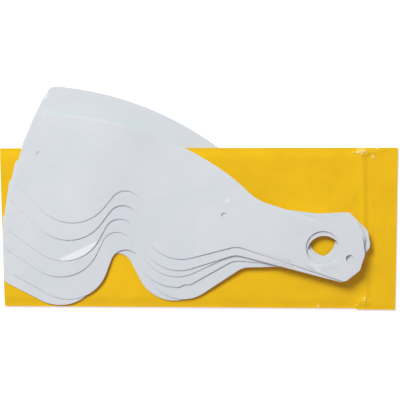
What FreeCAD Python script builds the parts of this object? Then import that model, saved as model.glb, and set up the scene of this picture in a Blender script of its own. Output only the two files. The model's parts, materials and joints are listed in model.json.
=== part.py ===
"""Goggle tear-off films fanned out over the flat film pouch that they are packed in.

Frame: +X runs along the pouch from its mouth to its sealed end, +Y across it, +Z up. The origin is at
the centre of the set's footprint, on the surface that it lies on. Lengths are in millimetres.
"""
import FreeCAD, Part
import math
import os

# Tear-off film, in its own frame: the origin is midway between the two post holes, +X towards the tab.
FILM_THICKNESS = 0.25
POST_SPACING = 147.5
POST_HOLE_R = 2.0
FINGER_HOLE_X = 153.5
FINGER_HOLE_R = 12.7
TAB_HOLE_X = 172.5
TAB_HOLE_R = 2.75
TAB_END_X = 184.5
TAB_HALF_WIDTH = 19.3
TAB_FLAT_HALF = 6.0
TAB_CHAMFER = 8.6
LENS_HALF_WIDTH = 87.7
LOBE_Y = -58.2
OUTER_LOBE_X = -28.4
OUTER_LOBE_R = 32.0
INNER_LOBE_X = 31.3
INNER_LOBE_R = 28.7
NECK_X = 90.0

# Pouch.
POUCH_LENGTH = 300.0
POUCH_WIDTH = 122.5
POUCH_FILM = 0.25
POUCH_INSIDE = 0.8
WELD_WIDTH = 1.5
SHOULDER = 7.0
SEAL_BAND = 24.0
SEAL_STEP = 4.0

# Stack: one film lies under the pouch, and six lie on it in one plane that rises towards the tabs.
CLEARANCE = 0.35
FILM_PITCH = 0.65
STACK_TILT_DEG = 1.1

# Place of each film, from the pouch's centre: finger hole (x, y), and how many degrees its lens end is
# swung towards +Y.
FAN = {
    "tear_off_1": (96.3, -13.9, 18.2),
    "tear_off_2": (95.5, -16.9, 15.1),
    "tear_off_3": (94.7, -7.4, 7.6),
    "tear_off_4": (92.4, -9.6, 4.6),
    "tear_off_5": (97.8, -9.3, -0.6),
    "tear_off_6": (90.4, -6.4, -2.8),
}
UNDER = {"tear_off_7": (97.2, -11.0, 23.1)}

POUCH_BOTTOM = FILM_THICKNESS + CLEARANCE
POUCH_MIDDLE = POUCH_BOTTOM + POUCH_FILM + POUCH_INSIDE / 2
POUCH_TOP = POUCH_MIDDLE + POUCH_INSIDE / 2 + POUCH_FILM
STACK_BOTTOM = POUCH_TOP + CLEARANCE

UP = FreeCAD.Vector(0, 0, 1)
ACROSS = FreeCAD.Vector(0, 1, 0)


def film_corners():
    """Corners of the film's outline with the radius that rounds each, clockwise from the lens's top left."""
    return [
        (-84.8, 28.2, 4.0),
        (-12.5, 51.4, 240.0),
        (72.3, 29.3, 130.0),
        (92.6, 18.8, 39.0),
        (TAB_END_X - TAB_CHAMFER, TAB_HALF_WIDTH, 4.5),
        (TAB_END_X, TAB_FLAT_HALF, 7.4),
        (TAB_END_X, -TAB_FLAT_HALF, 7.4),
        (TAB_END_X - TAB_CHAMFER, -TAB_HALF_WIDTH, 4.5),
        (NECK_X, -TAB_HALF_WIDTH, 15.0),
        (INNER_LOBE_X, LOBE_Y, INNER_LOBE_R),
        (0.0, 13.5, 11.8),
        (OUTER_LOBE_X, LOBE_Y, OUTER_LOBE_R),
        (-LENS_HALF_WIDTH, -23.7, 4.0),
        (-87.4, 2.7, 214.0),
    ]


def rounded_corner(before, corner, after, radius):
    """Start, middle and end of the arc of this radius that is tangent to both sides of the corner."""
    to_before = (before - corner).normalize()
    to_after = (after - corner).normalize()
    half_angle = to_before.getAngle(to_after) / 2
    bisector = (to_before + to_after).normalize()
    reach = radius / math.tan(half_angle)
    nearest = radius / math.sin(half_angle) - radius
    return corner + to_before * reach, corner + bisector * nearest, corner + to_after * reach


def rounded_outline(corners):
    """Closed wire through the corners, each rounded by a tangent arc."""
    points = [FreeCAD.Vector(x, y, 0) for x, y, _ in corners]
    count = len(corners)
    arcs = []
    for i, (_, _, radius) in enumerate(corners):
        arcs.append(rounded_corner(points[i - 1], points[i], points[(i + 1) % count], radius))
    edges = []
    for i, (start, middle, end) in enumerate(arcs):
        edges.append(Part.Arc(start, middle, end).toShape())
        edges.append(Part.LineSegment(end, arcs[(i + 1) % count][0]).toShape())
    return Part.Wire(edges)


def round_hole(x, radius):
    """Wire of a hole on the film's axis."""
    return Part.Wire(Part.makeCircle(radius, FreeCAD.Vector(x, 0, 0)))


def tear_off():
    """One die-cut film, its finger hole centred on the origin and its lens towards -X."""
    holes = [
        round_hole(-POST_SPACING / 2, POST_HOLE_R),
        round_hole(POST_SPACING / 2, POST_HOLE_R),
        round_hole(FINGER_HOLE_X, FINGER_HOLE_R),
        round_hole(TAB_HOLE_X, TAB_HOLE_R),
    ]
    sheet = Part.Face([rounded_outline(film_corners())] + holes).extrude(UP * FILM_THICKNESS)
    sheet.translate(FreeCAD.Vector(-FINGER_HOLE_X, 0, 0))
    return sheet


def swung(film, place, height):
    """A copy of the film with its finger hole at the place, at this height, swung by the place's angle."""
    x, y, angle = place
    turned = film.copy()
    turned.rotate(FreeCAD.Vector(0, 0, 0), UP, -angle)
    turned.translate(FreeCAD.Vector(x, y, height))
    return turned


def pouch_section(x, inside, side):
    """Cross-section of one pouch film at x: welds at both long edges, shoulders and a flat middle.

    inside is the height of the space between the two films, and side is 1 for the front film or -1
    for the back one.
    """
    half = POUCH_WIDTH / 2
    stations = [-half, WELD_WIDTH - half, WELD_WIDTH + SHOULDER - half]
    stations += [-y for y in reversed(stations)]
    rises = [0, 0, inside / 2, inside / 2, 0, 0]
    inner = [FreeCAD.Vector(x, y, POUCH_MIDDLE + side * rise) for y, rise in zip(stations, rises)]
    outer = [point + UP * side * POUCH_FILM for point in reversed(inner)]
    loop = inner + outer
    return Part.makePolygon(loop + loop[:1])


def pouch_film(side):
    """One film of the pouch, open at its mouth (-X) and flat where the sealed end's band is."""
    half = POUCH_LENGTH / 2
    sections = [
        pouch_section(-half, POUCH_INSIDE, side),
        pouch_section(half - SEAL_BAND - SEAL_STEP, POUCH_INSIDE, side),
        pouch_section(half - SEAL_BAND, 0, side),
        pouch_section(half, 0, side),
    ]
    return Part.makeLoft(sections, True, True)


def centred(pieces):
    """The pieces moved together, so that the middle of their footprint is at the origin."""
    footprint = Part.makeCompound(list(pieces.values())).optimalBoundingBox()
    for shape in pieces.values():
        shape.translate(FreeCAD.Vector(-footprint.Center.x, -footprint.Center.y, 0))
    return pieces


def build():
    """All pieces by name, in their places."""
    pieces = {"pouch_front": pouch_film(1), "pouch_back": pouch_film(-1)}
    film = tear_off()
    hinge_line = FreeCAD.Vector(-POUCH_LENGTH / 2, 0, STACK_BOTTOM)
    for level, name in enumerate(reversed(FAN)):
        placed = swung(film, FAN[name], STACK_BOTTOM + level * FILM_PITCH)
        placed.rotate(hinge_line, ACROSS, -STACK_TILT_DEG)
        pieces[name] = placed
    for name, place in UNDER.items():
        pieces[name] = swung(film, place, 0)
    return centred(pieces)


os.makedirs("parts", exist_ok=True)
for piece_name, shape in build().items():
    shape.exportStep(f"parts/{piece_name}.step")
    box = shape.BoundBox
    print(piece_name, "valid", shape.isValid(), "volume", round(shape.Volume, 1),
          "z", round(box.ZMin, 2), round(box.ZMax, 2))
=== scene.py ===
# %% [markdown]
# # Goggle tear-off films on their pouch
#
# An off-road goggle is kept clear in mud by thin films that lie in a pile over its lens and are torn off
# one at a time. This set shows seven such films fanned out on the yellow pouch that they are packed in.
# The CAD model is loaded first. It holds the true outlines, places and swivels, and every piece made
# below is measured from it.

# %% load the frame
import json
import math

import bmesh
import bpy
import numpy as np
from mathutils import Matrix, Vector
from mathutils.geometry import delaunay_2d_cdt


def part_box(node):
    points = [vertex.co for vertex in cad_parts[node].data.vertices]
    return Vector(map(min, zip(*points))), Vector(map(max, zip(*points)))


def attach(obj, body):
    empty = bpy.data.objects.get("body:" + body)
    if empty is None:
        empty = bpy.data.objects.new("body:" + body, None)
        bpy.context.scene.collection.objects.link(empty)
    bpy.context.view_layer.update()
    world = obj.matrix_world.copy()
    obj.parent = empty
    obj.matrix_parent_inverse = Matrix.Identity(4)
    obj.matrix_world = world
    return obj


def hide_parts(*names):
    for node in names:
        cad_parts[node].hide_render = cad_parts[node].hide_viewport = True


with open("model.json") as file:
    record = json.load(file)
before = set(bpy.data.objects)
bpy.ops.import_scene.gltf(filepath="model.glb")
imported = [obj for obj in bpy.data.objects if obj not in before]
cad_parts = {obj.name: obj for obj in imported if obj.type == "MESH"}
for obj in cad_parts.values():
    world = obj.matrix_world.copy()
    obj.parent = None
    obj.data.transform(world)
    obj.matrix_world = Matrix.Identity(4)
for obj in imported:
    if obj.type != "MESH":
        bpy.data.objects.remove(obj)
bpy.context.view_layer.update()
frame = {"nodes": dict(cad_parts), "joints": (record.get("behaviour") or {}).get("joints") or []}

MM = 0.001
nodes = frame["nodes"]
swivels = {joint["child"]: joint for joint in frame["joints"]}
print("CAD nodes:", sorted(nodes))

# %% [markdown]
# ## Sizes read from the CAD model
#
# The film under the pouch lies level on the table, so the height of its box is the thickness that the
# CAD gives a film, and it gives the pouch's two films the same. The pouch's front film starts at the
# level where both pouch films are sealed together, and its top tells how far the two stand apart.
# Reading these from the frame means that no size is written twice.

# %% film thickness and the pouch's levels
under_low, under_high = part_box("tear_off_7")
FILM = under_high[2] - under_low[2]
front_low, front_high = (np.array(corner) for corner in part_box("pouch_front"))
SEAL_LEVEL = front_low[2]
POUCH_CENTRE = (front_low + front_high) / 2
POUCH_HALF = (front_high - front_low) / 2
HALF_INSIDE = front_high[2] - FILM - SEAL_LEVEL
pouch_length, pouch_width = 2 * POUCH_HALF[:2] / MM
print(f"film {FILM / MM:.2f} mm thick, pouch {pouch_length:.0f} x {pouch_width:.1f} mm,"
      f" sealed at {SEAL_LEVEL / MM:.2f} mm, inside {2 * HALF_INSIDE / MM:.2f} mm")

# %% [markdown]
# ## Camera
#
# The set is looked at from nearly straight above. The camera leans almost eight degrees towards the
# upper edge of the pouch and three towards its sealed end, so those two sides are a little nearer and
# look a little larger. Its three axes are worked out from these leans and set as one rotation.

# %% camera
LEAN_UP = math.radians(7.73)
LEAN_RIGHT = math.radians(3.32)
ROLL = math.radians(-0.40)
CAMERA_DISTANCE = 0.8328
CAMERA_LENS_MM = 99.0
SENSOR_WIDTH_MM = 36.0
AIM_FROM_CENTRE = (2.06 * MM, 21.75 * MM)
AIM = np.array([POUCH_CENTRE[0] + AIM_FROM_CENTRE[0], POUCH_CENTRE[1] + AIM_FROM_CENTRE[1], SEAL_LEVEL])
to_camera = np.array([
    math.sin(LEAN_RIGHT) * math.cos(LEAN_UP),
    math.sin(LEAN_UP),
    math.cos(LEAN_RIGHT) * math.cos(LEAN_UP),
])
level_right = np.cross([0.0, 1.0, 0.0], to_camera)
level_right /= np.linalg.norm(level_right)
level_up = np.cross(to_camera, level_right)
view_right = level_right * math.cos(ROLL) + level_up * math.sin(ROLL)
view_up = level_up * math.cos(ROLL) - level_right * math.sin(ROLL)
camera = bpy.data.objects.new("camera", bpy.data.cameras.new("camera"))
camera.data.lens = CAMERA_LENS_MM
camera.data.sensor_width = SENSOR_WIDTH_MM
camera.location = AIM + CAMERA_DISTANCE * to_camera
camera.rotation_euler = Matrix((view_right, view_up, to_camera)).transposed().to_euler()
bpy.context.scene.collection.objects.link(camera)
bpy.context.scene.camera = camera
print("camera at", [round(float(value), 3) for value in camera.location])

# %% [markdown]
# ## A thin sheet as a closed shell
#
# Every piece here is a sheet a fraction of a millimetre thick. Each is worked out as one surface of
# points and faces, and the helper below turns it into a closed shell: the surface moved out to the top,
# a copy moved to the bottom and turned over, and a wall round every rim. A Solidify modifier would give
# the same shape, but then the smooth shading would run over the rim and blur it. Here the rim's edges
# are marked sharp, so that the cut edge of a film stays crisp.

# %% shell helpers
def rim_pairs(faces, count):
    """Directed edges that only one face uses: those whose reverse isn't an edge of any face."""
    start = faces.ravel()
    end = np.roll(faces, -1, axis=1).ravel()
    alone = ~np.isin(start * count + end, end * count + start)
    return np.stack([start[alone], end[alone]], axis=1)


def read_rows(items, what, width, kind=float):
    """What a mesh says of its vertices, edges, loops or faces, as an array with one row for each."""
    values = np.empty(len(items) * width, dtype=kind)
    items.foreach_get(what, values)
    return values.reshape(-1, width)


def mark_sharp(mesh, pairs, count):
    """Mark the edges that join these vertex pairs as sharp. A pair's key is low * count + high."""
    edge_keys = np.sort(read_rows(mesh.edges, "vertices", 2, int), axis=1) @ [count, 1]
    rim_keys = np.sort(pairs, axis=1) @ [count, 1]
    mesh.edges.foreach_set("use_edge_sharp", np.isin(edge_keys, rim_keys))


def shell_object(name, points, faces, half_wall):
    """A closed shell: the surface moved by half_wall, the turned copy moved back, and rim walls."""
    count = len(points)
    rim = rim_pairs(faces, count)
    walls = np.concatenate([rim + count, rim[:, ::-1]], axis=1)
    mesh = bpy.data.meshes.new(name)
    everything = np.concatenate([points + half_wall, points - half_wall])
    sides = faces.tolist() + (faces[:, ::-1] + count).tolist()
    mesh.from_pydata(everything.tolist(), [], sides + walls.tolist())
    mesh.update()
    mesh.polygons.foreach_set("use_smooth", np.ones(len(mesh.polygons), dtype=bool))
    mark_sharp(mesh, np.concatenate([rim, rim + count]), 2 * count)
    piece = bpy.data.objects.new(name, mesh)
    bpy.context.scene.collection.objects.link(piece)
    return piece


square = np.array([[0, 1, 2, 3]])
print("a single square has", len(rim_pairs(square, 4)), "rim edges")

# %% [markdown]
# ## Smooth steps, bells and creases
#
# All relief below is put together from three simple curves. A smooth step leads from one level to
# another without a kink, a bell is a hill that fades out on both sides, and a crease is a bell in two
# directions, longer one way than the other. They work on whole arrays of points at once.

# %% curves for relief
def smooth_step(value):
    """0 below 0, 1 above 1, and an S-shaped rise between: three t squared minus two t cubed."""
    t = np.clip(value, 0.0, 1.0)
    return t * t * (3.0 - 2.0 * t)


def bell(value, width):
    """A hill of height 1 that fades over its width, as exp(-(value / width)^2)."""
    return np.exp(-(value / width) ** 2)


def creases(x, y, table):
    """Sum of small oval hills, each given in millimetres: place x, y, half length, half width, height.

    A sixth number turns the hill, in degrees. A negative height makes a dent. Each hill is the product
    of a bell along it and a bell across it, and all hills are worked out at once.
    """
    place_x, place_y, length, width, height, degrees = np.array(table).T
    turn = np.radians(degrees)
    off_x = x[..., None] - place_x * MM
    off_y = y[..., None] - place_y * MM
    along = off_x * np.cos(turn) + off_y * np.sin(turn)
    across = off_y * np.cos(turn) - off_x * np.sin(turn)
    return (height * MM * bell(along, length * MM) * bell(across, width * MM)).sum(axis=-1)


print("halfway up a smooth step:", smooth_step(0.5), "- one width from the top of a bell:",
      round(float(bell(1.0, 1.0)), 3))

# %% [markdown]
# ## Reading a film's outline from its CAD node
#
# A tear-off film is die-cut, so its outline is exact and comes from the CAD node itself. The node's mesh
# is loose triangles, so a copy is merged first. The faces that look along the swivel's axis are the
# film's upper side, and the edges that only one of them uses are its rim: the outline and four round
# holes. The rim's edges are then sorted into closed loops by spreading the lowest vertex number along
# them until nothing changes.

# %% rim of a film
SAME_POINT = 0.001 * MM
FACES_AXIS = 0.99


def upper_rim(node, axis):
    """Vertices and edge pairs of the node's upper rim. The film lies to the left of each edge."""
    shell = bmesh.new()
    shell.from_mesh(node.data)
    bmesh.ops.remove_doubles(shell, verts=shell.verts, dist=SAME_POINT)
    merged = bpy.data.meshes.new("merged")
    shell.to_mesh(merged)
    shell.free()
    points = read_rows(merged.vertices, "co", 3)
    normals = read_rows(merged.polygons, "normal", 3)
    triangles = read_rows(merged.loops, "vertex_index", 1, int).reshape(-1, 3)
    bpy.data.meshes.remove(merged)
    pairs = rim_pairs(triangles[normals @ axis > FACES_AXIS], len(points))
    used, pairs = np.unique(pairs, return_inverse=True)
    return points[used], pairs.reshape(-1, 2)


def loop_labels(count, pairs):
    """One number per vertex, the same for all vertices that edges join: the lowest number spreads."""
    label = np.arange(count)
    while True:
        lowest = label.copy()
        np.minimum.at(lowest, pairs[:, 0], label[pairs[:, 1]])
        np.minimum.at(lowest, pairs[:, 1], label[pairs[:, 0]])
        if np.array_equal(lowest, label):
            return label
        label = lowest


print("a triangle's corners get one label:", loop_labels(3, np.array([[0, 1], [1, 2], [2, 0]])))

# %% [markdown]
# ## A film's own frame
#
# Everything that shapes a film is easier to say in the film's own directions: along its axis towards the
# tab, across it, and up. The two smallest loops of the rim are the post holes, then come the tab hole
# and the finger hole, and the largest is the outline. The frame starts midway between the post holes.

# %% film layouts
def film_layout(name):
    """The film's own frame, its flat rim and outline in that frame, and its holes.

    The origin lies midway between the two post holes, x runs towards the tab, and the third direction
    is the swivel's axis. The rim is flat in x and y. A hole is its centre in x and y, and its radius.
    """
    swivel = swivels[name]
    axis = np.array(swivel["axis"]) / np.linalg.norm(swivel["axis"])
    hinge = np.array(swivel["pos_m"])
    points, pairs = upper_rim(nodes[name], axis)
    points = points - np.outer((points - hinge) @ axis, axis)
    labels = loop_labels(len(points), pairs)
    loops = [points[labels == label] for label in np.unique(labels)]
    loops.sort(key=lambda loop: np.ptp(loop, axis=0).max())
    centres = [(loop.min(axis=0) + loop.max(axis=0)) / 2 for loop in loops[:4]]
    radii = [np.linalg.norm(loop - centre, axis=1).mean() for loop, centre in zip(loops, centres)]
    posts = sorted(centres[:2], key=lambda centre: -np.linalg.norm(centre - hinge))
    origin = (posts[0] + posts[1]) / 2
    along = (posts[1] - posts[0]) / np.linalg.norm(posts[1] - posts[0])
    across = np.cross(axis, along)
    to_frame = np.stack([along, across], axis=1)
    return {
        "origin": origin,
        "axes": np.stack([along, across, axis]),
        "rim": (points - origin) @ to_frame,
        "outline": (loops[4] - origin) @ to_frame,
        "rim_edges": pairs,
        "holes": [((centre - origin) @ to_frame, radius) for centre, radius in zip(centres, radii)],
        "hinge_x": float((hinge - origin) @ along),
        "slope": -axis[0] / axis[2],
    }


layouts = {name: film_layout(name) for name in sorted(swivels)}
for name, layout in layouts.items():
    swing = math.degrees(math.atan2(-layout["axes"][0][1], layout["axes"][0][0]))
    print(f"{name}: {len(layout['rim'])} rim points, lens end swung {swing:.1f} degrees,"
          f" holes {[round(radius / MM, 2) for _, radius in layout['holes']]} mm")

# %% [markdown]
# ## The shape of a film lying in the pile
#
# The CAD films are flat plates in one plane that rises towards the tabs. Real film is springy: the lens
# part lies on what is under it, with a low arch where it was curved round the goggle, and the tab end,
# bent by fingers, stands up. The sheets are about a tenth of a millimetre thick and lie closer together
# than the CAD plates, closest at the far end. The upper films were bent the most, so their tabs stand
# highest. Each film swivels about its own finger hole, so all of this is worked out from the distance
# to that hole alone. Turned to any angle, the films then keep air between them.
#
# On top of this come gentle waves, which differ from film to film and fade where the films lie closest.

# %% height of a film above its flat CAD plane
LENS_REACH = 245 * MM
RISE_START = 150 * MM
RISE_END = 12 * MM
ARCH_MIDDLE = 176 * MM
ARCH_WIDTH = 24 * MM
ARCH = 0.8 * MM
CLOSER = 0.15 * MM
SETTLE_START = 185 * MM
SETTLE_LENGTH = 55 * MM
SETTLE = 0.20 * MM
STACK = [f"tear_off_{number}" for number in range(6, 0, -1)]
TAB_LIFT = dict(zip(STACK, MM * np.array([3.3, 3.5, 3.7, 4.0, 4.4, 4.8])))


def settled(distance):
    """0 near the finger hole and 1 at the far end of the lens, where the films lie closest."""
    return smooth_step((distance - SETTLE_START) / SETTLE_LENGTH)


def pile_height(name, x, y):
    """Height above the CAD plane: the tab's rise plus the arch, less the plane's rise and the pitch."""
    layout = layouts[name]
    distance = np.hypot(x - layout["hinge_x"], y)
    wanted = TAB_LIFT[name] * smooth_step((RISE_START - distance) / (RISE_START - RISE_END))
    wanted += ARCH * bell(distance - ARCH_MIDDLE, ARCH_WIDTH)
    plane = layout["slope"] * (LENS_REACH - distance)
    drop = STACK.index(name) * (CLOSER + SETTLE * settled(distance))
    return wanted - plane - drop


print("tabs above lenses:", [round(float(lift) / MM, 1) for lift in TAB_LIFT.values()], "mm")

# %% gentle waves
WAVE_COUNT = 5
SHORTEST_WAVE = 45 * MM
LONGEST_WAVE = 130 * MM


def gentle_waves(x, y, seed, height):
    """A mean of long waves with seeded directions, lengths and phases, between -height and height."""
    draw = np.random.default_rng(seed)
    heading = draw.uniform(0.0, math.pi, WAVE_COUNT)
    length = draw.uniform(SHORTEST_WAVE, LONGEST_WAVE, WAVE_COUNT)
    phase = draw.uniform(0.0, 2 * math.pi, WAVE_COUNT)
    travel = np.multiply.outer(x, np.cos(heading)) + np.multiply.outer(y, np.sin(heading))
    return height * np.sin(2 * math.pi * travel / length + phase).mean(axis=-1)


print(f"{WAVE_COUNT} waves, each {SHORTEST_WAVE / MM:.0f} to {LONGEST_WAVE / MM:.0f} mm long")

# %% [markdown]
# ## Handled tabs
#
# All films are cut alike, but they have been pulled and bent by fingers, so seen from above they no
# longer lie quite where a flat film would. A pull moves the part of a film within one distance of a
# place and fades out at a second distance. The tabs of the pile's two lowest films have each moved two
# millimetres, in opposite directions, so that the finger holes leave only a narrow opening. The top
# film's finger hole is drawn towards the lens and its small hole towards the tab's end, and the lower
# corner of the film below it is drawn in. The fourth film's lower edge is a little wavy, and one corner
# of the film under the pouch is drawn in.

# %% pulls
FINGER_HOLE = round(float(layouts["tear_off_1"]["hinge_x"]) / MM, 1)
TAB_HOLE = round(float(layouts["tear_off_1"]["holes"][2][0][0]) / MM, 1)
PULLS = {
    "tear_off_6": [(FINGER_HOLE, 0, 16, 40, 0.5, -1.8), (177, 19, 4, 14, 2.4, 0.2)],
    "tear_off_5": [
        (165, 3, 24, 50, -0.6, 2.0), (174, 19, 4, 14, -2.8, -0.7), (187, -5, 5, 14, 1.6, 0.2)],
    "tear_off_4": [
        (48.5, -41.5, 1.5, 5, 0.0, -0.5), (54, -40.5, 1.5, 5, 0.0, 0.9), (58.5, -40, 1.5, 5, 0.0, -0.9)],
    "tear_off_1": [
        (FINGER_HOLE, 0, 14, 34, -1.9, 0.2), (185, 4, 6, 14, -1.5, 0.0),
        (TAB_HOLE, 0, 4, 10, 2.4, -1.3)],
    "tear_off_2": [(174, -17, 10, 34, -2.6, 0.9)],
    "tear_off_7": [(-85, 28, 1, 6, 0.7, -0.5)],
}


def pulled(name, flat):
    """The film's flat points after its pulls.

    A pull is x, y, the distance within which it is full, the distance beyond which there is none of it,
    and its shift in x and y, all in millimetres.
    """
    for x, y, within, beyond, shift_x, shift_y in PULLS.get(name, []):
        distance = np.hypot(flat[:, 0] - x * MM, flat[:, 1] - y * MM)
        share = smooth_step((beyond * MM - distance) / ((beyond - within) * MM))
        flat = flat + share[:, None] * np.array([shift_x, shift_y]) * MM
    return flat


print(f"finger hole at {FINGER_HOLE:.1f} mm, tab hole at {TAB_HOLE:.1f} mm; pulled:", sorted(PULLS))

# %% [markdown]
# ## Folds in single films
#
# The top film's tab has two soft folds beside its finger hole, where it was last gripped. The fourth
# film is raised a little at the top of its nose notch and beside it, and the pile's lowest film beside
# its notch. All of them are oval hills, added to the height.

# %% folds
FOLDS = {
    "tear_off_1": [(150.5, -17.0, 9.0, 2.2, 0.55, 32), (163.0, -9.0, 6.0, 2.0, 0.30, 38)],
    "tear_off_4": [(-1.0, -4.0, 13.0, 7.0, 0.15, 0), (-14.0, -24.0, 13.0, 5.0, 0.16, 58)],
    "tear_off_6": [(-14.0, -25.0, 12.0, 5.0, 0.22, 48)],
}
print("films with folds:", sorted(FOLDS))

# %% [markdown]
# ## Cutting a film out of a grid of points
#
# A film needs points inside its outline so that it can bend. A square grid of points is laid over the
# lens and the tab, with one row of points just inside the rim, and Delaunay triangulation joins them
# without crossing the rim's edges. Triangles whose three corners all lie on or inside a hole's rim are
# dropped. Every point then gets its height from the functions above, for all points at once.
#
# Cutting rolls a film's edge over a little. That is far finer than the mesh, so the outline only carries
# a number, 1 on the edge and 0 from the inner row on, which the finish turns into a slope. Towards the
# finger hole it fades, because fingers have pressed the tab's edge flat.

# %% points inside the rim
GRID_STEP = 2.2 * MM
ROLL_WIDTH = 0.8 * MM
INNER_ROW_GAP = 0.7 * ROLL_WIDTH
RIM_GAP = 1.7 * MM


def from_rim(points, rim):
    """Distance of each point from the nearest point of the rim."""
    return np.linalg.norm(points[:, None] - rim[None], axis=2).min(axis=1)


def inner_row(rim, edges):
    """The rim's points moved in by the roll's width, along the mean of their two edges' left sides."""
    step = rim[edges[:, 1]] - rim[edges[:, 0]]
    left = np.stack([-step[:, 1], step[:, 0]], axis=1) / np.linalg.norm(step, axis=1)[:, None]
    inwards = np.zeros_like(rim)
    np.add.at(inwards, edges[:, 0], left)
    np.add.at(inwards, edges[:, 1], left)
    row = rim + ROLL_WIDTH * inwards / np.linalg.norm(inwards, axis=1)[:, None]
    return row[from_rim(row, rim) > INNER_ROW_GAP]


def inner_points(rim):
    """Points of a square grid over the rim's extent, without those near the rim."""
    low, high = rim.min(axis=0), rim.max(axis=0)
    across = np.arange(low[0], high[0], GRID_STEP)
    up = np.arange(low[1], high[1], GRID_STEP)
    grid = np.stack(np.meshgrid(across, up), axis=-1).reshape(-1, 2)
    return grid[from_rim(grid, rim) > RIM_GAP]


print("grid points in the top film:", len(inner_points(layouts["tear_off_1"]["rim"])))

# %% cutting a sheet
INSIDE_OF_OUTLINE = 1
MERGE_MM = 1e-5
HOLE_REACH = 1.02


def cut_sheet(layout):
    """Flat points and triangles of the film: constrained Delaunay triangles outside the four holes."""
    rim = layout["rim"]
    flat = np.concatenate([rim, inner_row(rim, layout["rim_edges"]), inner_points(rim)]) / MM
    edges = layout["rim_edges"].tolist()
    result = delaunay_2d_cdt(flat.tolist(), edges, [], INSIDE_OF_OUTLINE, MERGE_MM)
    points = np.array(result[0], dtype=float) * MM
    triangles = np.array(result[2])
    in_hole = np.zeros(len(triangles), dtype=bool)
    for centre, radius in layout["holes"]:
        reach = np.linalg.norm(points[triangles] - centre, axis=2).max(axis=1)
        in_hole |= reach < HOLE_REACH * radius
    triangles = triangles[~in_hole]
    used, triangles = np.unique(triangles, return_inverse=True)
    return points[used], triangles.reshape(-1, 3)


print("triangles in the top film:", len(cut_sheet(layouts["tear_off_1"])[1]))

# %% [markdown]
# ## The seven films
#
# Each film is cut flat, pulled, raised by its place in the pile, waved and folded, and only then turned
# into a shell. The film under the pouch isn't part of the pile: it stays almost flat on the table.

# %% film pieces
SHEET = 0.12 * MM
FLATTENED_REACH = 120 * MM
PILE_WAVE = 0.12 * MM
CALMED_AT_END = 0.7
UNDER_LIFT = 0.06 * MM
UNDER_WAVE = 0.06 * MM


def film_piece(name, seed):
    """The film as a shell on its body: flat points raised by its place in the pile, waves and folds."""
    layout = layouts[name]
    flat, triangles = cut_sheet(layout)
    rolled = np.clip(1.0 - from_rim(flat, layout["outline"]) / INNER_ROW_GAP, 0.0, 1.0)
    rolled *= smooth_step(np.hypot(flat[:, 0] - layout["hinge_x"], flat[:, 1]) / FLATTENED_REACH)
    flat = pulled(name, flat)
    x, y = flat[:, 0], flat[:, 1]
    if name in STACK:
        calm = 1.0 - CALMED_AT_END * settled(np.hypot(x - layout["hinge_x"], y))
        height = pile_height(name, x, y) + calm * gentle_waves(x, y, seed, PILE_WAVE)
    else:
        height = UNDER_LIFT + gentle_waves(x, y, seed, UNDER_WAVE)
    if name in FOLDS:
        height = height + creases(x, y, FOLDS[name])
    along, across, axis = layout["axes"]
    points = layout["origin"] + np.outer(x, along) + np.outer(y, across) + np.outer(height, axis)
    piece = shell_object(name + "_sheet", points, triangles, SHEET / 2 * axis)
    piece.data.attributes.new("rolled", "FLOAT", "POINT").data.foreach_set("value", np.tile(rolled, 2))
    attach(piece, name)
    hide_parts(name)
    print(f"{piece.name}: {len(flat)} points, {len(triangles)} triangles")
    return piece


films = {name: film_piece(name, seed) for seed, name in enumerate(sorted(layouts), 1)}

# %% [markdown]
# ## The pouch
#
# The pouch is two films of printed yellow plastic, welded along both long edges and sealed across one
# end with a broad flat band. Where the band begins, the films are pressed together beside a rounded
# ridge, which runs slightly askew, and the band's lower edge hangs out by about a millimetre. Each film
# is one surface: its height is a function of the place along and across the pouch. The grid is finest
# at the sealed end and along the edges, where the small creases are, and coarser elsewhere.

# %% pouch surfaces
WELD = 1.5 * MM
SHOULDER = 7 * MM
BAND = 19.9 * MM
BAND_SKEW = -0.038
STEP = 4.4 * MM
FINE_STEP = 0.5 * MM
COARSE_STEP = 1.6 * MM
MOUTH_ZONE = 6 * MM
SEALED_ZONE = 64 * MM
EDGE_ZONE = 12 * MM


def stations(low, high, zone_low, zone_high, fine, coarse):
    """Places from low to high: about fine apart in a zone at each end and coarse apart between them."""
    first = np.linspace(low, low + zone_low, round(zone_low / fine) + 1)
    last = np.linspace(high - zone_high, high, round(zone_high / fine) + 1)
    span = high - low - zone_low - zone_high
    middle = np.linspace(low + zone_low, high - zone_high, round(span / coarse) + 1)
    return np.concatenate([first, middle[1:-1], last])


def past_band(x, y):
    """Distance beyond the line where the sealed band begins, which leans a little."""
    return x - (POUCH_HALF[0] - BAND + BAND_SKEW * y)


def stand_off(x, y):
    """How far a pouch film stands off the seal: full in the body, none at the welds and in the band."""
    from_edge = POUCH_HALF[1] - WELD - np.abs(y)
    return HALF_INSIDE * smooth_step(from_edge / SHOULDER) * smooth_step(-past_band(x, y) / STEP)


along_stations = stations(-POUCH_HALF[0], POUCH_HALF[0], MOUTH_ZONE, SEALED_ZONE, FINE_STEP, COARSE_STEP)
across_stations = stations(-POUCH_HALF[1], POUCH_HALF[1], EDGE_ZONE, EDGE_ZONE, FINE_STEP, COARSE_STEP)
print("pouch grid:", len(along_stations), "by", len(across_stations), "points")

# %% [markdown]
# ## Relief of the two pouch films
#
# The front film carries broad waves, livelier at the sealed end, a soft bulge of trapped air under the
# tabs, and the ridge at the band. Handling has left small creases, most of them where the band meets the
# upper and the lower edge. They are listed one by one as oval hills and dents. The back film lies on the
# table and on the lowest tear-off film, so its waves only reach inwards.

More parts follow.
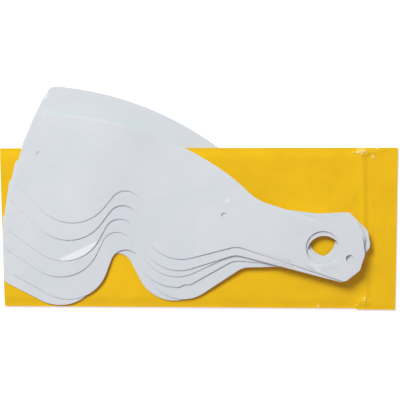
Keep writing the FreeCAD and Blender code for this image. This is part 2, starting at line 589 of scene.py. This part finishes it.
# %% creases of the front film
FRONT_CREASES = [
    (116.7, 57.8, 1.0, 0.7, 0.30, 0), (120.4, 58.0, 1.3, 0.8, 0.42, 0),
    (124.4, 58.8, 2.4, 0.7, 0.38, -6), (123.2, 55.6, 0.8, 2.0, 0.32, 6),
    (131.7, 54.4, 1.2, 1.0, 0.40, -20), (135.2, 60.0, 1.2, 0.6, 0.30, 0),
    (140.2, 59.4, 1.8, 0.7, 0.26, 12), (129.0, 57.6, 1.6, 0.8, -0.22, 40),
    (127.0, -52.6, 0.9, 1.2, 0.46, 0), (121.0, -58.4, 0.9, 0.7, 0.30, 0),
    (123.6, -60.0, 1.8, 0.8, -0.30, 0), (92.3, -59.4, 0.8, 1.1, 0.30, 0),
    (110.5, -59.6, 4.5, 0.9, -0.22, 0), (126.5, -47.5, 0.7, 4.2, -0.30, 0),
    (128.7, -54.5, 0.6, 5.8, -0.34, 0), (116.4, 22.0, 1.5, 8.0, 0.10, 2),
    (133.5, -6.0, 3.0, 15.0, -0.14, 2), (138.5, 12.0, 2.2, 20.0, 0.08, 2),
    (128.3, 12.0, 2.0, 15.0, -0.16, 2), (72.0, 44.0, 14.0, 5.0, -0.16, 14),
    (104.0, 46.0, 9.0, 4.0, 0.14, -16), (-76.0, -39.0, 16.0, 7.0, -0.75, 46),
]
# Glints painted as a paler yellow on the sharpest creases, in the same kind of table; height 1 is fully
# painted.
FRONT_GLINTS = [
    (120.3, 57.8, 1.2, 0.7, 1.00, 0), (124.2, 58.3, 2.0, 1.2, 0.75, -4),
    (131.7, 54.4, 0.9, 0.8, 0.90, -20), (116.6, 57.5, 0.6, 0.5, 0.40, 0),
    (134.9, 60.4, 0.9, 0.5, 0.60, 0), (122.4, 60.6, 3.0, 0.5, 0.45, 0),
    (126.9, -53.0, 0.7, 1.2, 0.65, 0), (120.8, -58.0, 0.8, 0.5, 0.35, 0),
    (91.6, -59.9, 0.8, 0.8, 0.80, 0),
]
print(len(FRONT_CREASES), "creases,", len(FRONT_GLINTS), "of them or beside them gone pale")

# %% relief
FRONT_WAVE = 0.12 * MM
END_WAVE = 0.16 * MM
END_WAVE_SHORTER = (2.5, 2.0)
END_WAVE_START = 95 * MM
END_WAVE_FADE = 25 * MM
RIDGE = 0.28 * MM
RIDGE_BEFORE_STEP = 0.2 * MM
RIDGE_WIDTH = 2.2 * MM
BULGE = 2.8 * MM
BULGE_PLACE = (94 * MM, -10 * MM)
BULGE_REACH = 21 * MM
CALM_EDGE = 5 * MM
DEEPEST_DENT = 1.6
BACK_WAVE = 0.06 * MM


def front_relief(x, y):
    """Waves, livelier towards the sealed end, the ridge at the band, the bulge and the creases.

    No dent is deeper than 1.6 times the film's stand-off, which keeps the front film off the back one.
    """
    free_end = smooth_step((x - END_WAVE_START) / END_WAVE_FADE)
    end_x, end_y = END_WAVE_SHORTER[0] * x, END_WAVE_SHORTER[1] * y
    end_waves = gentle_waves(end_x, end_y, seed=23, height=END_WAVE)
    waves = gentle_waves(x, y, seed=21, height=FRONT_WAVE) + free_end * end_waves
    ridge = RIDGE * bell(past_band(x, y) + STEP + RIDGE_BEFORE_STEP, RIDGE_WIDTH)
    bulge = BULGE * bell(np.hypot(x - BULGE_PLACE[0], y - BULGE_PLACE[1]), BULGE_REACH)
    calm_edge = smooth_step((POUCH_HALF[1] - np.abs(y)) / CALM_EDGE)
    height = np.maximum(waves + FRONT_WAVE, 0) * calm_edge + ridge + bulge + creases(x, y, FRONT_CREASES)
    return np.maximum(height, -DEEPEST_DENT * stand_off(x, y))


def back_relief(x, y):
    """A flat back with gentle waves that only reach inwards, for it lies on the film under the pouch."""
    return np.minimum(gentle_waves(x, y, seed=22, height=BACK_WAVE), 0)


print(f"bulge {BULGE / MM:.1f} mm and ridge {RIDGE / MM:.2f} mm high")

# %% [markdown]
# ## The two pouch films
#
# Both films share one grid. The front film stands off upwards and the back one downwards, and the same
# band edge hangs out in both, so their rims stay on each other.

# %% pouch pieces
HANG = 0.95 * MM
HANG_START = 119.5 * MM
HANG_FADE = 2 * MM
HANG_FROM = 0.375


def pouch_piece(name, side, relief, painted_glints):
    """One pouch film: a grid surface at the seal level, stood off to its side, with its relief added.

    The band's lower edge hangs: in full at the edge, and fading to nothing at three eighths of the
    pouch's half width from its middle.
    """
    x, y = np.meshgrid(along_stations, across_stations, indexing="ij")
    lower = smooth_step((-y / POUCH_HALF[1] - HANG_FROM) / (1 - HANG_FROM))
    hang = HANG * smooth_step((x - HANG_START) / HANG_FADE) * lower
    height = FILM / 2 + stand_off(x, y) + relief(x, y)
    points = np.stack([
        POUCH_CENTRE[0] + x,
        POUCH_CENTRE[1] + y - hang,
        SEAL_LEVEL + side * height,
    ], axis=-1).reshape(-1, 3)
    index = np.arange(len(points)).reshape(x.shape)
    quads = np.stack([index[:-1, :-1], index[1:, :-1], index[1:, 1:], index[:-1, 1:]], axis=-1)
    piece = shell_object(name + "_film", points, quads.reshape(-1, 4), np.array([0.0, 0.0, FILM / 2]))
    # Where a glint is painted: 1 mixes in the full paler colour on the front film.
    painted_highlight = np.tile(np.clip(painted_glints(x, y), 0.0, 1.0).ravel(), 2)
    piece.data.attributes.new("painted_highlight", "FLOAT", "POINT").data.foreach_set("value", painted_highlight)
    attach(piece, "pouch")
    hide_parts(name)
    print(f"{piece.name}: {len(points)} points")
    return piece


print(f"the band's lower edge hangs out by up to {HANG / MM:.2f} mm")

# %% front and back film
def front_painted_glints(x, y):
    """How strongly a glint is painted as a paler yellow on the front film, 1 for fully."""
    return creases(x, y, FRONT_GLINTS) / MM


pouch_films = [
    pouch_piece("pouch_front", 1, front_relief, front_painted_glints),
    pouch_piece("pouch_back", -1, back_relief, lambda x, y: np.zeros(x.shape)),
]
print("pouch films:", [piece.name for piece in pouch_films])

# %% [markdown]
# ## Helpers for finishes
#
# Both finishes are shader node trees. A short helper adds a node, sets its options and connects its
# inputs, so that a finish reads as a list of steps. A soft spot, a mask that fades out around a place,
# serves both plastics, so it is a node group of its own.

# %% node helpers
def set_inputs(tree, node, inputs):
    """Give each input of the node its value, or link it where the value is an output socket."""
    for key, value in inputs.items():
        if isinstance(value, bpy.types.NodeSocket):
            tree.links.new(value, node.inputs[key])
        else:
            node.inputs[key].default_value = value


def add_node(tree, kind, inputs=None, **settings):
    """A new node with these settings; each input is a value, or an output socket to be linked."""
    node = tree.nodes.new(kind)
    for key, value in settings.items():
        setattr(node, key, value)
    set_inputs(tree, node, inputs or {})
    return node


def new_group(name, ins, outs):
    """An empty shader node group with these inputs and outputs, its tree and its two end nodes."""
    tree = bpy.data.node_groups.new(name, "ShaderNodeTree")
    for label, kind in ins.items():
        tree.interface.new_socket(label, in_out="INPUT", socket_type=kind)
    for label, kind in outs.items():
        tree.interface.new_socket(label, in_out="OUTPUT", socket_type=kind)
    return tree, tree.nodes.new("NodeGroupInput"), tree.nodes.new("NodeGroupOutput")


print("node helpers ready")

# %% soft spot
soft_spot, spot_in, spot_out = new_group(
    "soft_spot",
    {"Place": "NodeSocketVector", "Centre": "NodeSocketVector", "Reach": "NodeSocketVector"},
    {"Mask": "NodeSocketFloat"})
away = add_node(soft_spot, "ShaderNodeVectorMath", {
    0: spot_in.outputs["Place"], 1: spot_in.outputs["Centre"]}, operation="SUBTRACT")
scaled = add_node(soft_spot, "ShaderNodeVectorMath", {
    0: away.outputs[0], 1: spot_in.outputs["Reach"]}, operation="DIVIDE")
far = add_node(soft_spot, "ShaderNodeVectorMath", {0: scaled.outputs[0]}, operation="LENGTH")
fade = add_node(soft_spot, "ShaderNodeMapRange", {
    "Value": far.outputs["Value"], "To Min": 1.0, "To Max": 0.0}, interpolation_type="SMOOTHSTEP")
soft_spot.links.new(fade.outputs["Result"], spot_out.inputs["Mask"])
print("node group:", soft_spot.name)

# %% [markdown]
# ## White satin film
#
# The films are a cool white with a satin sheen. They aren't one even colour: faint bluish and warmer
# clouds cross them, a few centimetres wide, and the sheen is uneven where the sheets rub and stick to
# each other. The clouds are noise at two sizes, and a third, stretched noise gives fine scuffs. All of
# it is one node group that puts out a colour, a roughness and a height, and the shader stays outside.

# %% film finish
def two_color_ramp(tree, fac, low, low_color, high, high_color):
    """A colour ramp's output: one colour up to low, another from high on, and a blend between them."""
    ramp = add_node(tree, "ShaderNodeValToRGB", {"Fac": fac})
    for element, position, color in zip(ramp.color_ramp.elements, (low, high), (low_color, high_color)):
        element.position = position
        element.color = color + (1.0,)
    return ramp.outputs["Color"]


cloudy_film, film_in, film_out = new_group(
    "cloudy_film", {"Place": "NodeSocketVector"},
    {"Color": "NodeSocketColor", "Roughness": "NodeSocketFloat", "Height": "NodeSocketFloat"})
clouds = add_node(cloudy_film, "ShaderNodeTexNoise", {
    "Vector": film_in.outputs["Place"], "Scale": 26.0, "Detail": 2.0, "Roughness": 0.45})
patches = add_node(cloudy_film, "ShaderNodeTexNoise", {
    "Vector": film_in.outputs["Place"], "Scale": 75.0, "Detail": 2.0, "Roughness": 0.5})
shade = two_color_ramp(cloudy_film, clouds.outputs["Fac"], 0.30, (0.666, 0.733, 0.772),
                       0.70, (0.724, 0.768, 0.782))
tint = two_color_ramp(cloudy_film, patches.outputs["Fac"], 0.32, (0.670, 0.742, 0.748),
                      0.68, (0.718, 0.747, 0.782))
blend = add_node(cloudy_film, "ShaderNodeMix", {"Factor": 0.4, "A": shade, "B": tint}, data_type="RGBA")
cloudy_film.links.new(blend.outputs["Result"], film_out.inputs["Color"])
stretched = add_node(cloudy_film, "ShaderNodeMapping", {
    "Vector": film_in.outputs["Place"], "Rotation": (0.0, 0.0, 0.6), "Scale": (60.0, 900.0, 60.0)})
scuffs = add_node(cloudy_film, "ShaderNodeTexNoise", {
    "Vector": stretched.outputs["Vector"], "Scale": 1.0})
rubbed = add_node(cloudy_film, "ShaderNodeMapRange", {
    "Value": patches.outputs["Fac"], "From Min": 0.3, "From Max": 0.7, "To Min": 0.34, "To Max": 0.48})
cloudy_film.links.new(rubbed.outputs["Result"], film_out.inputs["Roughness"])
ripple = add_node(cloudy_film, "ShaderNodeMath", {
    0: patches.outputs["Fac"], 1: 0.6}, operation="MULTIPLY")
fine = add_node(cloudy_film, "ShaderNodeMath", {
    0: scuffs.outputs["Fac"], 1: 0.03, 2: ripple.outputs[0]}, operation="MULTIPLY_ADD")
cloudy_film.links.new(fine.outputs[0], film_out.inputs["Height"])
print("node group:", cloudy_film.name)

# %% [markdown]
# ## The film's pattern as a material
#
# A material carries the pattern as one group node beside its Principled shader. The rolled edge comes
# from the number that each film carries: it lowers the height in the Bump node. A film can also mix in a
# paler white by a mask of its own, which paints a highlight into its colour.

# %% material helpers
def add_group(tree, group, **inputs):
    """A group node in the tree, with values or links for its inputs."""
    node = tree.nodes.new("ShaderNodeGroup")
    node.node_tree = group
    set_inputs(tree, node, inputs)
    return node


def new_finish(name):
    """A material with nodes: its name, tree, Principled shader and Object coordinates."""
    material = bpy.data.materials.new(name)
    material.use_nodes = True
    tree = material.node_tree
    place = tree.nodes.new("ShaderNodeTexCoord").outputs["Object"]
    return material, tree, tree.nodes["Principled BSDF"], place


print("material helpers ready")

# %% film material
ROLL_DROP = -0.22
FILM_BUMP = 0.3 * MM
FILM_SPECULAR = 0.35
# The paler white that a film's own mask paints in as a highlight.
PAINTED_HIGHLIGHT_WHITE = (0.865, 0.905, 0.94, 1.0)


def film_finish(name, painted_highlight=None):
    """The satin film as a material; the optional mask function makes, from the tree and place, the mask
    where a highlight is painted in paler white.
    """
    material, tree, shader, place = new_finish(name)
    surface = add_group(tree, cloudy_film, Place=place)
    rolled = add_node(tree, "ShaderNodeAttribute", attribute_name="rolled")
    height = add_node(tree, "ShaderNodeMath", {
        0: rolled.outputs["Fac"], 1: ROLL_DROP, 2: surface.outputs["Height"]}, operation="MULTIPLY_ADD")
    relief = add_node(tree, "ShaderNodeBump", {
        "Height": height.outputs[0], "Strength": 1.0, "Distance": FILM_BUMP})
    color = surface.outputs["Color"]
    if painted_highlight:
        # The mask paints a highlight into the film's colour as a paler white.
        highlight_mix = add_node(tree, "ShaderNodeMix", {
            "Factor": painted_highlight(tree, place), "A": color, "B": PAINTED_HIGHLIGHT_WHITE}, data_type="RGBA")
        color = highlight_mix.outputs["Result"]
    tree.links.new(color, shader.inputs["Base Color"])
    tree.links.new(surface.outputs["Roughness"], shader.inputs["Roughness"])
    tree.links.new(relief.outputs["Normal"], shader.inputs["Normal"])
    shader.inputs["Specular IOR Level"].default_value = FILM_SPECULAR
    return material


plain_finish = film_finish("white_satin_film")
print("finish:", plain_finish.name)

# %% [markdown]
# ## A painted glint and a painted highlight
#
# Two films have such a mask, which paints a highlight into the colour. On the top film a small glint is
# painted near its inner post hole, and on the third film the rim of the outer lobe is painted paler as
# if it had come up to catch the light. Both places are given in the film's own frame and turned into
# frame coordinates. Object coordinates travel with a film, so its marks stay on it as it swivels.

# %% worn spot
GLINT_PLACE = (72.6, 11.4)
GLINT_REACH = (2.6 * MM, 2.2 * MM, 9 * MM)


def in_film(name, places):
    """Frame coordinates of places given in millimetres in the film's own frame."""
    layout = layouts[name]
    return layout["origin"] + np.array(places) * MM @ layout["axes"][:2]


def painted_glint_spot(tree, place):
    """Mask of a small glint painted paler near the top film's inner post hole."""
    centre = tuple(in_film("tear_off_1", GLINT_PLACE))
    return add_group(tree, soft_spot, Place=place, Centre=centre, Reach=GLINT_REACH).outputs["Mask"]


print("worn spot at", (in_film("tear_off_1", GLINT_PLACE) / MM).round(1).tolist(), "mm")

# %% lifted rim
# Ends of the chord beyond which the third film's rim is painted paler as a highlight.
CRESCENT_ENDS = [(-43.3, -42.2), (-18.0, -25.5)]
CRESCENT_RISE = 0.8 * MM
CRESCENT_FADE = 2 * MM


def painted_rim_highlight(tree, place):
    """Mask of the part of a lobe outside a chord: a highlight painted paler, as if the rim had come up
    to catch the light.

    The chord joins two places in the film's frame. The mask rises from 0 to 1 over the first 0.8 mm
    beyond the chord, and fades over 2 mm past either end.
    """
    ends = in_film("tear_off_3", CRESCENT_ENDS)
    middle, chord = ends.mean(axis=0), ends[1] - ends[0]
    length = np.linalg.norm(chord)
    outwards = np.cross(chord / length, layouts["tear_off_3"]["axes"][2])
    from_middle = add_node(tree, "ShaderNodeVectorMath", {
        0: place, 1: tuple(middle)}, operation="SUBTRACT")
    beyond = add_node(tree, "ShaderNodeVectorMath", {
        0: from_middle.outputs[0], 1: tuple(outwards)}, operation="DOT_PRODUCT")
    along = add_node(tree, "ShaderNodeVectorMath", {
        0: from_middle.outputs[0], 1: tuple(chord / length)}, operation="DOT_PRODUCT")
    rise = add_node(tree, "ShaderNodeMapRange", {
        "Value": beyond.outputs["Value"], "From Min": 0.0, "From Max": CRESCENT_RISE},
        interpolation_type="SMOOTHSTEP")
    reach = add_node(tree, "ShaderNodeMath", {0: along.outputs["Value"]}, operation="ABSOLUTE")
    end = add_node(tree, "ShaderNodeMapRange", {
        "Value": reach.outputs[0], "From Min": length / 2, "From Max": length / 2 + CRESCENT_FADE,
        "To Min": 1.0, "To Max": 0.0}, interpolation_type="SMOOTHSTEP")
    return add_node(tree, "ShaderNodeMath", {
        0: rise.outputs["Result"], 1: end.outputs["Result"]}, operation="MULTIPLY").outputs[0]


print("lifted rim between", (in_film("tear_off_3", CRESCENT_ENDS) / MM).round(1).tolist(), "mm")

# %% finishes of the seven films
# Two films paint a highlight into their colour: a small glint on the top film and a bright rim on the
# third.
own_finishes = {
    "tear_off_1": film_finish("white_satin_film_with_painted_glint", painted_glint_spot),
    "tear_off_3": film_finish("white_satin_film_with_painted_rim_highlight", painted_rim_highlight),
}
for name, piece in films.items():
    piece.data.materials.append(own_finishes.get(name, plain_finish))
    print(name, "finish:", piece.data.materials[0].name)

# %% [markdown]
# ## Yellow pouch film
#
# The pouch is printed in an even warm yellow on a soft glossy film. Handling has left shallow wrinkles
# all over it, and sharp little crinkles that catch the light where the band meets the upper and lower
# edge. The wrinkles are noise stretched across the pouch. The crinkles are much finer noise, let through
# only near those places by soft spots. On the sharpest creases glints are painted into the colour as a
# paler yellow, by the number that the pouch's surface carries there.

# %% pouch colour and wrinkles
wrinkled_film, pouch_in, pouch_out = new_group(
    "wrinkled_film", {"Place": "NodeSocketVector", "Crinkle": "NodeSocketFloat"},
    {"Color": "NodeSocketColor", "Roughness": "NodeSocketFloat", "Height": "NodeSocketFloat"})
folds_place = add_node(wrinkled_film, "ShaderNodeMapping", {
    "Vector": pouch_in.outputs["Place"], "Rotation": (0.0, 0.0, 0.25), "Scale": (38.0, 22.0, 30.0)})
folds = add_node(wrinkled_film, "ShaderNodeTexNoise", {
    "Vector": folds_place.outputs["Vector"], "Scale": 1.0, "Detail": 3.0, "Roughness": 0.5})
small = add_node(wrinkled_film, "ShaderNodeTexNoise", {
    "Vector": pouch_in.outputs["Place"], "Scale": 420.0, "Detail": 1.0})
mottle = add_node(wrinkled_film, "ShaderNodeTexNoise", {
    "Vector": pouch_in.outputs["Place"], "Scale": 45.0, "Detail": 2.0})
ink = two_color_ramp(wrinkled_film, mottle.outputs["Fac"], 0.3, (0.865, 0.525, 0.004),
                     0.7, (0.915, 0.565, 0.006))
wrinkled_film.links.new(ink, pouch_out.inputs["Color"])
worn = add_node(wrinkled_film, "ShaderNodeMapRange", {
    "Value": mottle.outputs["Fac"], "From Min": 0.3, "From Max": 0.7, "To Min": 0.24, "To Max": 0.34})
wrinkled_film.links.new(worn.outputs["Result"], pouch_out.inputs["Roughness"])
sharp = add_node(wrinkled_film, "ShaderNodeMath", {
    0: small.outputs["Fac"], 1: pouch_in.outputs["Crinkle"]}, operation="MULTIPLY")
total = add_node(wrinkled_film, "ShaderNodeMath", {
    0: folds.outputs["Fac"], 1: sharp.outputs[0]}, operation="ADD")
wrinkled_film.links.new(total.outputs[0], pouch_out.inputs["Height"])
print("node group:", wrinkled_film.name)

# %% pouch material
POUCH_BUMP = 1.0 * MM
POUCH_SPECULAR = 0.24
# The paler yellow painted in on the sharpest creases as glints.
PAINTED_GLINT_YELLOW = (1.0, 0.86, 0.50, 1.0)


def pouch_place(x, y):
    """A place on the pouch's front, in millimetres from its centre, as frame coordinates."""
    return tuple(POUCH_CENTRE + np.array([x * MM, y * MM, 0.0]))


pouch_finish, tree, shader, place = new_finish("yellow_printed_film")
upper_crinkles = add_group(tree, soft_spot, Place=place, Centre=pouch_place(127, 58),
                           Reach=(14 * MM, 4.5 * MM, 20 * MM))
lower_crinkles = add_group(tree, soft_spot, Place=place, Centre=pouch_place(126, -57),
                           Reach=(7 * MM, 5 * MM, 20 * MM))
crinkled = add_node(tree, "ShaderNodeMath", {
    0: upper_crinkles.outputs["Mask"], 1: lower_crinkles.outputs["Mask"]}, operation="MAXIMUM")
surface = add_group(tree, wrinkled_film, Place=place, Crinkle=crinkled.outputs[0])
relief = add_node(tree, "ShaderNodeBump", {
    "Height": surface.outputs["Height"], "Strength": 1.0, "Distance": POUCH_BUMP})
# Glints painted into the print colour as a paler yellow, by the surface's number.
painted_glint_attribute = add_node(tree, "ShaderNodeAttribute", attribute_name="painted_highlight")
print_and_painted_glints = add_node(tree, "ShaderNodeMix", {
    "Factor": painted_glint_attribute.outputs["Fac"], "A": surface.outputs["Color"], "B": PAINTED_GLINT_YELLOW},
    data_type="RGBA")
tree.links.new(print_and_painted_glints.outputs["Result"], shader.inputs["Base Color"])
tree.links.new(surface.outputs["Roughness"], shader.inputs["Roughness"])
tree.links.new(relief.outputs["Normal"], shader.inputs["Normal"])
shader.inputs["Specular IOR Level"].default_value = POUCH_SPECULAR
for piece in pouch_films:
    piece.data.materials.append(pouch_finish)
print("finish:", pouch_finish.name)

# %% [markdown]
# ## Light
#
# One soft lamp at the upper left, so that shadows fall to the lower right, and an even world for the
# rest. The world is slightly pink and the lamp slightly green, which makes the shadows warm and leaves
# lit surfaces neutral. Rays that come straight from the camera, or by way of a mirror or a clear piece,
# see the world as plain white.

# %% lamp
KEY_DISTANCE = 3.2
KEY_ELEVATION = math.radians(39.0)
KEY_HEADING = math.radians(119.0)
KEY_SIZE = 1.2
KEY_WATTS = 107.0
KEY_COLOR = (0.935, 1.0, 0.94)
key = bpy.data.objects.new("key_lamp", bpy.data.lights.new("key_lamp", "AREA"))
key.data.size = KEY_SIZE
key.data.energy = KEY_WATTS
key.data.color = KEY_COLOR
key.location = (
    AIM[0] + KEY_DISTANCE * math.cos(KEY_ELEVATION) * math.cos(KEY_HEADING),
    AIM[1] + KEY_DISTANCE * math.cos(KEY_ELEVATION) * math.sin(KEY_HEADING),
    KEY_DISTANCE * math.sin(KEY_ELEVATION),
)
key.rotation_euler = (math.pi / 2 - KEY_ELEVATION, 0.0, KEY_HEADING + math.pi / 2)
bpy.context.scene.collection.objects.link(key)
print("lamp at", [round(value, 2) for value in key.location])

# %% world
WORLD_COLOR = (0.345, 0.268, 0.335, 1.0)
WHITE = (1.0, 1.0, 1.0, 1.0)


def seen_directly(tree):
    """1 for rays from the camera, or sent on by a mirror or a clear piece, and 0 for all others."""
    rays = add_node(tree, "ShaderNodeLightPath")
    either = add_node(tree, "ShaderNodeMath", {
        0: rays.outputs["Is Camera Ray"], 1: rays.outputs["Is Glossy Ray"]}, operation="MAXIMUM")
    return add_node(tree, "ShaderNodeMath", {
        0: either.outputs[0], 1: rays.outputs["Is Transmission Ray"]}, operation="MAXIMUM").outputs[0]


world = bpy.data.worlds.new("pale_studio")
bpy.context.scene.world = world
world.use_nodes = True
seen = add_node(world.node_tree, "ShaderNodeMix", {
    "Factor": seen_directly(world.node_tree), "A": WORLD_COLOR, "B": WHITE}, data_type="RGBA")
world.node_tree.links.new(seen.outputs["Result"], world.node_tree.nodes["Background"].inputs["Color"])
print("world:", world.name)

# %% [markdown]
# ## Floor
#
# The floor is white, and it glows a little for the same rays that see the world as white. That keeps the
# background white without putting more light on the object. It is just large enough to end where it is
# still white, so that no horizon shows in low views.

# %% floor
FLOOR_HALF = 1.1
FLOOR_WHITE = (0.82, 0.82, 0.82, 1.0)
FLOOR_ROUGHNESS = 0.9
FLOOR_GLOW = 0.5
corners = FLOOR_HALF * np.array([[-1, -1, 0], [1, -1, 0], [1, 1, 0], [-1, 1, 0]])
floor_mesh = bpy.data.meshes.new("floor")
floor_mesh.from_pydata(corners.tolist(), [], [(0, 1, 2, 3)])
floor = bpy.data.objects.new("floor", floor_mesh)
bpy.context.scene.collection.objects.link(floor)
floor_finish, tree, shader, _ = new_finish("white_floor")
shader.inputs["Base Color"].default_value = FLOOR_WHITE
shader.inputs["Roughness"].default_value = FLOOR_ROUGHNESS
shader.inputs["Emission Color"].default_value = WHITE
glow = add_node(tree, "ShaderNodeMath", {0: seen_directly(tree), 1: FLOOR_GLOW}, operation="MULTIPLY")
tree.links.new(glow.outputs[0], shader.inputs["Emission Strength"])
floor_mesh.materials.append(floor_finish)
bpy.context.scene.view_settings.view_transform = "Standard"
print("floor:", floor_finish.name)
